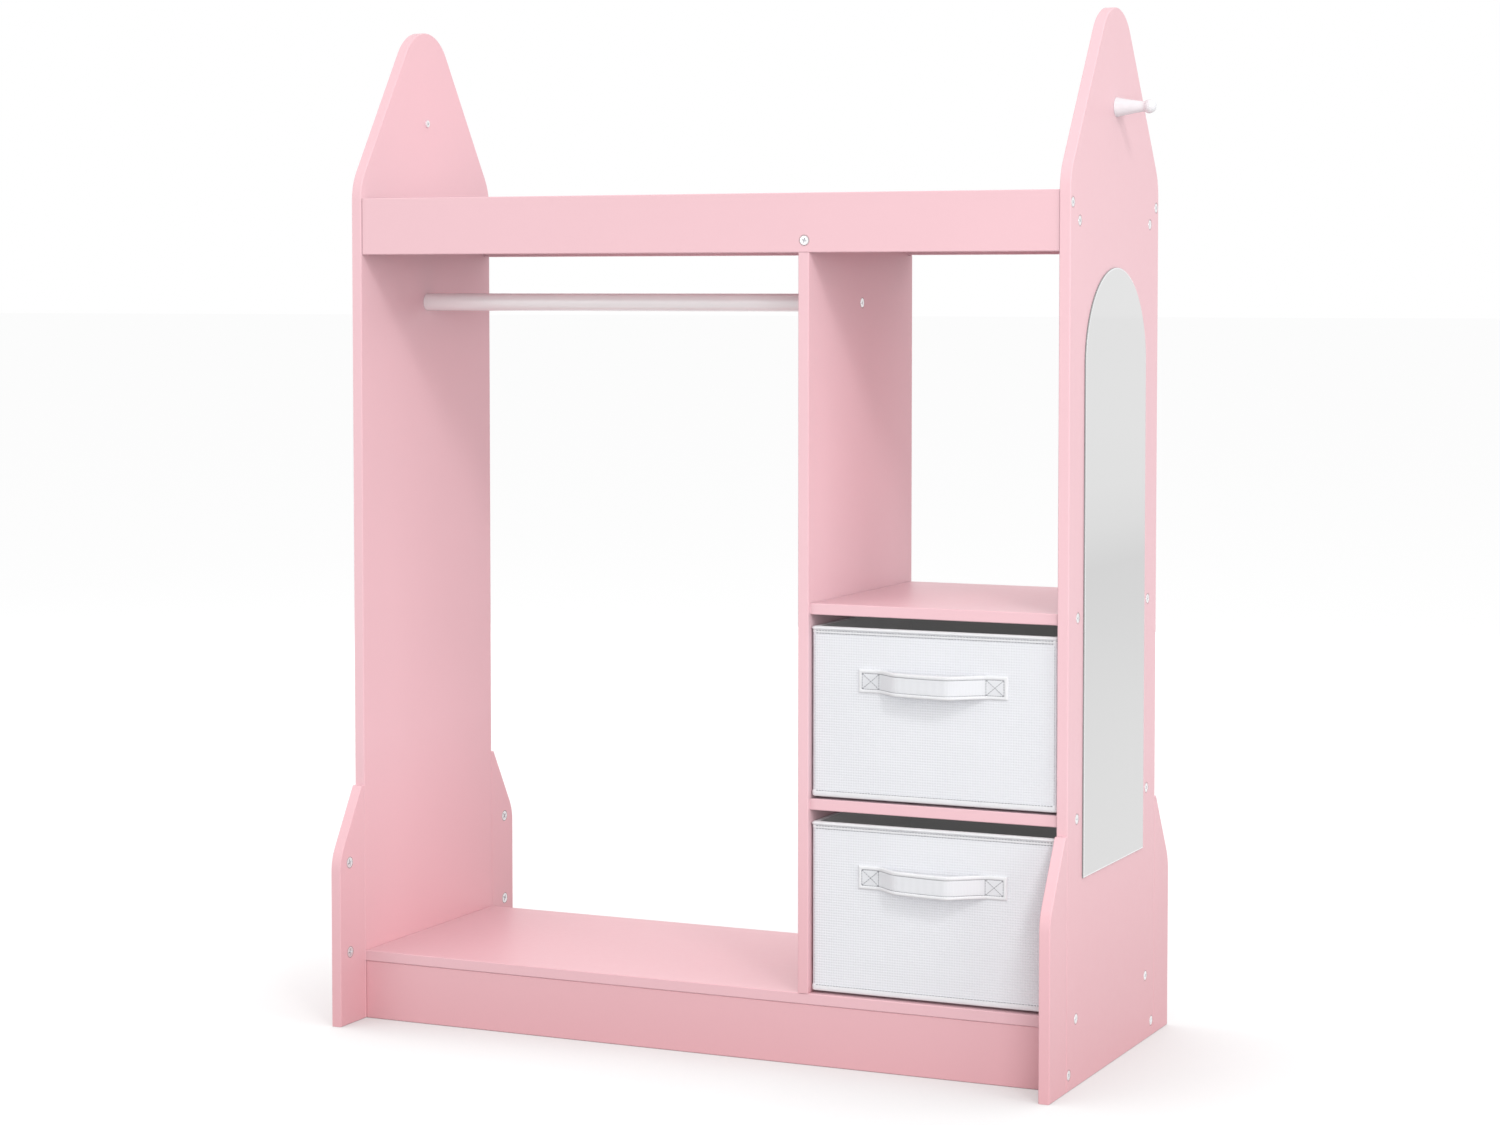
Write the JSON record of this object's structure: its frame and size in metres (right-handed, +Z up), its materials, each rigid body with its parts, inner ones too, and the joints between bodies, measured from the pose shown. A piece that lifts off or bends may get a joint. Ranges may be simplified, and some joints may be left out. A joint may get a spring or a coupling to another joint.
{
  "type": "kids wardrobe",
  "caption": "Free-standing child's wardrobe with spire-topped sides, a hanging rod, shelves, pull-out fabric bins, a top tray, turned pegs and an arched side mirror.",
  "frame": {"origin": "on the floor, under the middle of the whole object", "axes": "+X to the right as seen from the front, -Y to the front, where the bins pull out, +Z up"},
  "size_m": [0.937, 0.4, 1.123],
  "materials": {
    "painted_board": "satin pink paint",
    "white_rod": "satin white paint",
    "white_peg": "gloss white paint",
    "screw_steel": "bright plating",
    "dowel_wood": "bare beech",
    "cam_zinc": "zinc plated",
    "bolt_steel": "zinc plated",
    "mirror_face": "silvered",
    "foam_tape": "matt foam",
    "bin_fabric": "fine weave, white",
    "bin_binding": "sewn tape, white",
    "strap_webbing": "folded strap, white",
    "lining_fabric": "matt, dark grey",
    "stiff_card": "pressed card"
  },
  "bodies": {
    "carcass": {"left_side_panel": "painted_board", "right_side_panel": "painted_board", "front_left_foot": "painted_board", "rear_left_foot": "painted_board", "front_right_foot": "painted_board", "rear_right_foot": "painted_board", "upper_shelf": "painted_board", "lower_shelf": "painted_board", "top_board": "painted_board", "bottom_board": "painted_board", "front_kick_board": "painted_board", "rear_kick_board": "painted_board", "front_top_rail": "painted_board", "rear_top_rail": "painted_board", "divider_panel": "painted_board", "left_panel_screws": "screw_steel", "right_panel_screws": "screw_steel", "shelf_screws": "screw_steel", "rod_screws": "screw_steel", "rail_screws": "screw_steel", "peg_screws": "screw_steel", "rail_dowels": "dowel_wood", "kick_dowels": "dowel_wood", "divider_dowels": "dowel_wood", "hanging_rod": "white_rod", "peg_hooks": "white_peg", "foot_cam_locks": "cam_zinc", "foot_cam_bolts": "bolt_steel", "mirror": "mirror_face", "mirror_tape": "foam_tape"},
    "upper_bin": {"upper_bin_cover": "bin_fabric", "upper_bin_stiffeners": "stiff_card", "upper_bin_lining": "lining_fabric", "upper_bin_floor_board": "stiff_card", "upper_bin_top_binding": "bin_binding", "upper_bin_bottom_binding": "bin_binding", "upper_bin_handle": "strap_webbing"},
    "lower_bin": {"lower_bin_cover": "bin_fabric", "lower_bin_stiffeners": "stiff_card", "lower_bin_lining": "lining_fabric", "lower_bin_floor_board": "stiff_card", "lower_bin_top_binding": "bin_binding", "lower_bin_bottom_binding": "bin_binding", "lower_bin_handle": "strap_webbing"}
  },
  "joints": [
    {"name": "upper_bin_slide", "type": "slide", "parent": "carcass", "child": "upper_bin", "axis": [0, -1, 0], "range_m": [0, 0.26]},
    {"name": "lower_bin_slide", "type": "slide", "parent": "carcass", "child": "lower_bin", "axis": [0, -1, 0], "range_m": [0, 0.26]}
  ]
}
